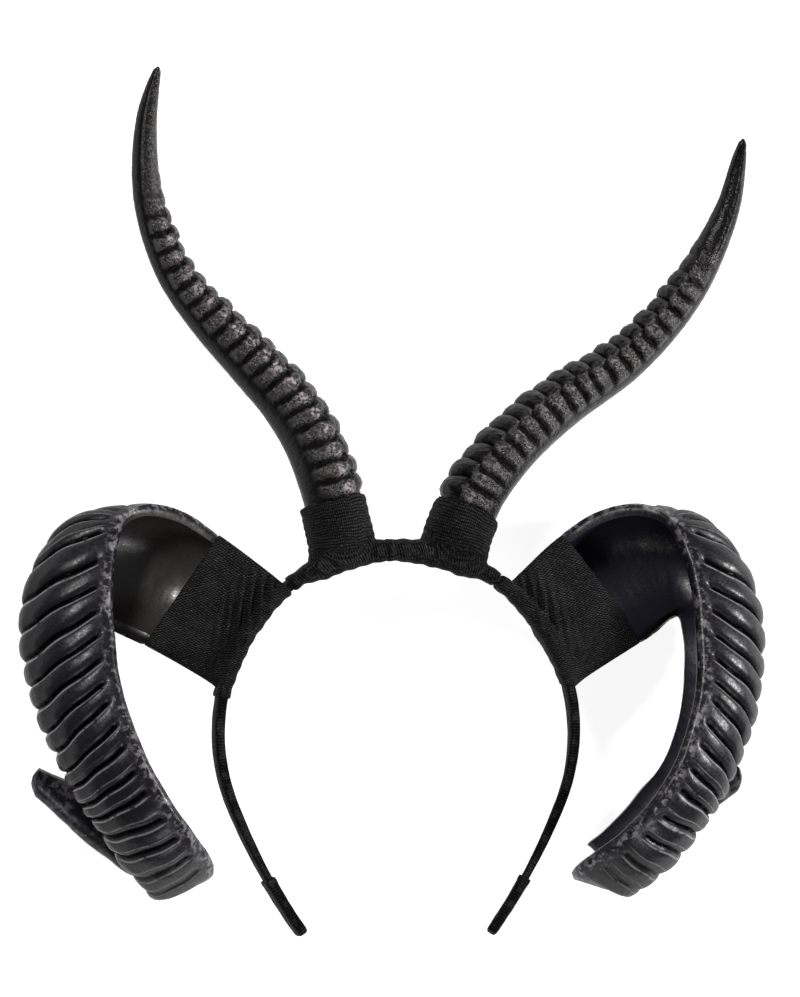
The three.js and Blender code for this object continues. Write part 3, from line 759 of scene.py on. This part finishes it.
# For each point, the nearest station on a line and how far away it is.
def nearest(points, line):
    best = np.concatenate([
        np.linalg.norm(part[:, None] - line[None], axis=2).argmin(1)
        for part in np.array_split(points, max(1, len(points) // BATCH))
    ])
    return best, np.linalg.norm(points - line[best], axis=1)


def weave_fields(mesh, u, v):
    write_field(mesh, "weave_u", u)
    write_field(mesh, "weave_v", v)


# Weave along the band: u across the strip, v along it.
def band_weave(points):
    stations = np.linspace(-BAND_REACH, BAND_REACH, BAND_MESH["weave_steps"])
    centre, out, front = band_at(stations)
    index, away = nearest(points, centre)
    offset = points - centre[index]
    return (offset * front[index]).sum(1), stations[index] + 0.3 * (offset * out[index]).sum(1), away


# Cloth wound round the band, thinning out towards its ends, or only towards its far end at the crown.
def cuff(span, growth, seed, at_crown=False):
    distances = np.linspace(span[0], span[1], CUFF["steps"])
    rings, _ = strip(distances, CUFF["sides"], *growth, corner=CUFF["corner"])
    slim, _ = strip(distances, CUFF["sides"], *CUFF_GROWTH["thin"], corner=CUFF["corner"])
    middle, reach = (span[0] + span[1]) / 2, (span[1] - span[0]) / 2
    far = np.abs(distances) > abs(middle)
    thinning = smooth(np.abs(distances - middle), reach - CUFF["taper"], reach - CUFF["end"])
    full = 1 - thinning * np.where(far, 1.0, CUFF["at_crown"]) if at_crown else 1 - thinning
    rings = slim + (rings - slim) * full[:, None, None]
    centre = band_at(distances)[0][:, None]
    lumps = CUFF_SWELL["lumps"] * wobble(rings, CUFF_SWELL["lump_size"], seed)
    swell = lumps + CUFF_SWELL["turns"] * np.sin(distances * CUFF_SWELL["turn_rate"] + seed)[:, None]
    return rings + unit(rings - centre) * swell[..., None]


# Room for the band inside a cuff, running past both of the cuff's ends.
def strap_room(span, past, steps):
    distances = np.linspace(span[0] - past, span[1] + past, steps)
    return strip(distances, CUFF["room_sides"], GAP, GAP, GAP)[0]


# Knitted ribbon wound round the foot of a tall horn, flattened where it meets its cuff on the band.
def tall_wrap(key, material):
    name, rows, side, wrap = f"upper_wrap_{key}_surface", TALL_ROWS[key], SIDES[key], TALL_WRAPS[key]
    top, below, flat = wrap["reach"], TALL_SLEEVE["below"], TALL_SLEEVE["flat"]
    counts = TALL_SLEEVE_MESH
    turns = 2 * np.pi * np.arange(counts["sides"]) / counts["sides"]

    def tube(distances, radius, fray):
        s = np.asarray(distances)[:, None]
        centre, rib, front, _, _ = tall_frames(rows, side, distances)
        line = side * np.cross(rib, front)
        reach = radius(s, turns[None, :])
        deep = reach * (flat + (1 - flat) * smooth(s, below, TALL_START))
        torn = np.sin(3 * turns + side) + 0.7 * np.sin(8 * turns)
        rise = fray * torn * smooth(s, top - TALL_SLEEVE["torn"], top) + np.minimum(s, 0)
        across = rib[:, None] * (reach * np.cos(turns))[..., None]
        across = across + front[:, None] * (deep * np.sin(turns))[..., None]
        return centre[:, None] + across + line[:, None] * rise[..., None]

    def wound(s, turn):
        edge = (s - 3.5 - TALL_WINDING["tilt"] * np.sin(turn - 0.6)) % TALL_WINDING["pitch"]
        layer = TALL_WINDING["layer"] * smooth(edge, 0.0, 1.2)
        ripple = 0.16 * np.sin(s * 2.1 + 2 * np.sin(turn)) + 0.25 * np.sin(3 * turn + s * 0.25)
        flare = TALL_WINDING["flare"] * np.exp(-np.maximum(s, 0) / TALL_WINDING["flare_reach"])
        return wrap["radius"] + flare + layer + ripple - 0.4

    def inner_radius(s, turn):
        return wrap["radius"] - CLOTH + 0 * s * turn

    body = tube(np.linspace(below, top, counts["steps"]), wound, wrap["fray"])
    hollow = np.linspace(TALL_SLEEVE["hollow_from"], top + TALL_SLEEVE["hollow_past"], counts["room_steps"])
    room = tube(hollow, inner_radius, 0.0)
    strap = strap_room(wrap["cuff"], STRAP_PAST["tall"], counts["strap_steps"])
    wound_cuff = cuff(wrap["cuff"], CUFF_GROWTH["tall"], side + 4, at_crown=True)
    mesh = fused(name, [body, wound_cuff], [room, strap])
    points = drawn_points(mesh)
    stations = np.linspace(0, top + 3, counts["weave_steps"])
    centre, rib, front, _, _ = tall_frames(rows, side, stations)
    index, _ = nearest(points, centre)
    offset = points - centre[index]
    turn = np.arctan2((offset * front[index]).sum(1), (offset * rib[index]).sum(1))
    across, run, away = band_weave(points)
    on_band = away < TALL_SLEEVE["band_reach"]
    u = np.where(on_band, run, stations[index] + TALL_WINDING["lean"] * np.sin(turn))
    v = np.where(on_band, across, turn * wrap["radius"])
    weave_fields(mesh, u, v)
    obj = piece(name, mesh, material, f"upper_wrap_{key}")
    return obj


# Cloth sleeve from the band to the foot of a ram horn, with upright folds where it gathers at the band.
def ram_wrap(key, material):
    name, side = f"ram_wrap_{key}_surface", SIDES[key]
    counts = RAM_WRAP_MESH
    count = counts["sides"]
    turns = 2 * np.pi * np.arange(count)[None, :] / count

    def sleeve(places, grown, folds):
        at = np.broadcast_to(places[:, None], (len(places), count))
        angles = np.broadcast_to(turns, at.shape)
        frames = ram_frames(at)
        front = RAM_WRAP["front"] + RAM_WRAP["gathered"] * (1 - smooth(at, 0, RAM_WRAP["gather_to"]))
        deep = np.where(np.sin(angles) < 0, front, frames[3]) + grown
        flat = ram_points(frames, angles, grown + 0 * deep, deep)
        wave = np.sin((flat[..., 0] + RAM_FOLDS["lean"] * flat[..., 1]) * 2 * np.pi / RAM_FOLDS["pitch"])
        gather = bell(at, RAM_FOLDS["at"], RAM_FOLDS["spread"]) * smooth(np.cos(angles), -0.9, 0.4)
        deep = deep + folds * RAM_FOLDS["height"] * gather * wave
        return ram_points(frames, angles, grown + 0 * deep, deep) * [side, 1, 1]

    to = RAM_WRAP["to"]
    body = sleeve(np.linspace(0, to, counts["steps"]), GAP + CLOTH, 1.0)
    hollow = np.linspace(RAM_WRAP_ROOM["from"], to + RAM_WRAP_ROOM["past"], counts["room_steps"])
    room = sleeve(hollow, GAP, 0.0)
    ends = sorted(side * end for end in RAM_CUFFS[key])
    strap = strap_room(ends, STRAP_PAST["ram"], counts["strap_steps"])
    mesh = fused(name, [body, cuff(ends, CUFF_GROWTH["ram"], 9 + side)], [room, strap])
    points = drawn_points(mesh)
    lie = np.array([RAM_WEAVE[0], RAM_WEAVE[1], 0.0]) * [side, 1, 1]
    level = np.array([-RAM_WEAVE[1], RAM_WEAVE[0], 0.0]) * [side, 1, 1]
    weave_fields(mesh, points @ lie, points @ level + 0.4 * points[:, 2])
    obj = piece(name, mesh, material, f"ram_wrap_{key}")
    return obj


# The ribbon-covered band itself, from end to end.
def band_strap(material):
    name = "band_surface"
    distances = np.linspace(-BAND_REACH, BAND_REACH, BAND_MESH["steps"])
    rings, turns = strip(distances, BAND_MESH["sides"])
    centre = band_at(distances)[0][:, None]
    rings = rings + unit(rings - centre) * uneven(rings, BAND_ROUGH)[..., None]
    u = np.sin(turns)[None, :] * BAND["width"] / 2
    fields = {"weave_u": u, "weave_v": distances[:, None]}
    return piece(name, skin(name, rings, fields), material, "band")


# Cloth cover over an end of the band, with a rounded tip.
def band_end(key, material):
    name, side = f"band_end_{key}_surface", SIDES[key]
    grown = GAP + BAND_END["wall"]
    start = BAND_REACH - BAND_END["length"]
    steps, tip_steps = BAND_MESH["end_steps"], BAND_MESH["tip_steps"]
    body = np.linspace(start, BAND_REACH, steps)
    tip = BAND_REACH + BAND_END["tip"] * np.sin(np.linspace(BAND_TIP["from"], np.pi / 2, tip_steps))
    distances = np.concatenate([body, tip])
    rounding = np.sqrt(1 - np.linspace(BAND_TIP["from"], BAND_TIP["to"], tip_steps) ** 2)
    scale = np.concatenate([np.ones(steps), rounding])
    hem = 1 + BAND_HEM["height"] * bell(distances, start + BAND_HEM["at"], BAND_HEM["width"])
    rings, turns = strip(side * distances, BAND_MESH["sides"], grown, grown, grown, scale * hem)
    centre = band_at(side * distances)[0][:, None]
    rings = rings + unit(rings - centre) * uneven(rings, BAND_END_ROUGH)[..., None]
    u = np.sin(turns)[None, :] * BAND["width"] / 2
    fields = {"weave_u": u, "weave_v": distances[:, None]}
    return piece(name, skin(name, rings, fields), material, f"band_end_{key}")


# White floor that the headband lies on.
def floor():
    bpy.ops.mesh.primitive_grid_add(size=FLOOR["size"], x_subdivisions=2, y_subdivisions=2)
    plane = bpy.context.object
    plane.name = "floor"
    paint = Paint("pale_floor")
    gray = FLOOR["gray"]
    paint.set(Base_Color=(gray, gray, gray, 1), Roughness=FLOOR["roughness"])
    paint.set(Emission_Color=(1, 1, 1, 1), Emission_Strength=FLOOR["glow"])
    plane.data.materials.append(paint.material)


# Square lamp that faces the aiming point.
def softbox(name, place, size, power):
    light = bpy.data.lights.new(name, "AREA")
    light.size = size
    light.energy = power
    lamp = bpy.data.objects.new(name, light)
    lamp.location = place
    x, y, z = np.array(LIGHT_AIM) - np.array(place)
    tilt = math.atan2(math.hypot(x, y), -z)
    lamp.rotation_euler = (tilt, 0, math.atan2(x, -y) + math.pi)
    bpy.context.scene.collection.objects.link(lamp)


def lights():
    world = bpy.data.worlds.new("studio")
    world.use_nodes = True
    background = world.node_tree.nodes["Background"]
    background.inputs["Color"].default_value = (1, 1, 1, 1)
    background.inputs["Strength"].default_value = WORLD_GLOW
    bpy.context.scene.world = world
    for name, place, size, power in LIGHTS:
        softbox(name, place, size, power)
    bpy.context.scene.view_settings.view_transform = "Standard"


# The photo's camera: above the headband, turned to one side of it.
def camera():
    data = bpy.data.cameras.new("photo_camera")
    data.sensor_fit = "HORIZONTAL"
    data.sensor_width = CAMERA["sensor"]
    data.lens = CAMERA["sensor"] * CAMERA["distance"] / (CAMERA["width"] * MM)
    turn = math.radians(CAMERA["turn"])
    eye = bpy.data.objects.new("photo_camera", data)
    target = placed([CAMERA["x"], CAMERA["y"], 0])
    eye.location = target + CAMERA["distance"] * np.array([math.sin(turn), 0, math.cos(turn)])
    eye.rotation_euler = (0, turn, 0)
    data.clip_end = CAMERA["clip"]
    bpy.context.scene.collection.objects.link(eye)
    bpy.context.scene.camera = eye


camera()
floor()
lights()
HORN = horn_paint()
SHELL = shell_paint()
KNIT = cloth_paint("knitted_ribbon", pitch=1.05, slant=0.0, cross=0.8, tone=0.017)
TWILL = cloth_paint("black_twill", pitch=0.95, slant=0.8, cross=0.9, tone=0.021)
RIBBON = cloth_paint("band_ribbon", pitch=1.3, slant=0.0, cross=1.1, tone=0.013)
for key in SIDES:
    tall_horn(key, HORN)
    ram_horn(key, SHELL)
    tall_wrap(key, KNIT)
    ram_wrap(key, TWILL)
    band_end(key, RIBBON)
band_strap(RIBBON)
